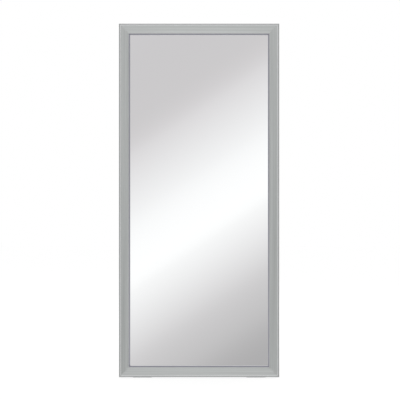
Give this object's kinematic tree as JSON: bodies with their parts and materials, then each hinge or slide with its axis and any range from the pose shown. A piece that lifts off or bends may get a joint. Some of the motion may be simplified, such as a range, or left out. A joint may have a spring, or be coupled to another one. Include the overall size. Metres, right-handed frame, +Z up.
{
  "type": "leaning floor mirror",
  "caption": "Tall rectangular floor mirror in a mitred silver moulding with a raised outer bead and a sloped sight edge; ring hangers and corner plates on its back.",
  "frame": {"origin": "middle of the footprint, on the floor under the rubber pads, with the mirror upright", "axes": "+X to the right seen from the front, +Y from the glass towards the wall, +Z up; the mirror faces -Y"},
  "size_m": [0.762, 0.0384, 1.682],
  "materials": {
    "silver_moulding": "pine moulding wrapped in brushed silver foil, raw wood at the back",
    "mirror_glass": "silvered float glass, grey paint on its back",
    "foam": "closed-cell foam sheet, matt",
    "hardboard": "brown hardboard, screen pattern on its back",
    "nail_steel": "bare pressed steel",
    "zinc_plated_steel": "bright zinc plate",
    "rubber": "matt rubber"
  },
  "bodies": {
    "framed_mirror": {"frame_rail_bottom": "silver_moulding", "frame_rail_top": "silver_moulding", "frame_stile_right": "silver_moulding", "frame_stile_left": "silver_moulding", "mirror_pane": "mirror_glass", "foam_cushion_sheet": "foam", "backing_board": "hardboard", "glazing_points_bottom": "nail_steel", "glazing_points_top": "nail_steel", "glazing_points_right": "nail_steel", "glazing_points_left": "nail_steel", "v_nails_bottom_left": "nail_steel", "corner_plate_bottom_left": "zinc_plated_steel", "v_nails_bottom_right": "nail_steel", "corner_plate_bottom_right": "zinc_plated_steel", "v_nails_top_right": "nail_steel", "corner_plate_top_right": "zinc_plated_steel", "v_nails_top_left": "nail_steel", "corner_plate_top_left": "zinc_plated_steel", "corner_plate_screws": "zinc_plated_steel", "hanger_strap_left": "zinc_plated_steel", "hanger_strap_right": "zinc_plated_steel", "hanger_strap_top": "zinc_plated_steel", "hanger_strap_bottom": "zinc_plated_steel", "hanger_screws": "zinc_plated_steel", "setting_block_left": "rubber", "floor_pad_left": "rubber", "setting_block_right": "rubber", "floor_pad_right": "rubber", "wall_bumpers": "rubber"},
    "ring_left": {"hanger_ring_left": "zinc_plated_steel"},
    "ring_right": {"hanger_ring_right": "zinc_plated_steel"},
    "ring_top": {"hanger_ring_top": "zinc_plated_steel"},
    "ring_bottom": {"hanger_ring_bottom": "zinc_plated_steel"}
  },
  "joints": [
    {"name": "ring_swing_left", "type": "hinge", "parent": "framed_mirror", "child": "ring_left", "pos_m": [-0.3595, 0.01533, 1.382], "axis": [1, 0, 0], "range_deg": [0, 178.7]},
    {"name": "ring_swing_right", "type": "hinge", "parent": "framed_mirror", "child": "ring_right", "pos_m": [0.3595, 0.01533, 1.382], "axis": [1, 0, 0], "range_deg": [0, 178.7]},
    {"name": "ring_swing_top", "type": "hinge", "parent": "framed_mirror", "child": "ring_top", "pos_m": [0.191, 0.01533, 1.6605], "axis": [0, 0, 1], "range_deg": [0, 178.7]},
    {"name": "ring_swing_bottom", "type": "hinge", "parent": "framed_mirror", "child": "ring_bottom", "pos_m": [0.191, 0.01533, 0.0235], "axis": [0, 0, 1], "range_deg": [0, 178.7]}
  ]
}
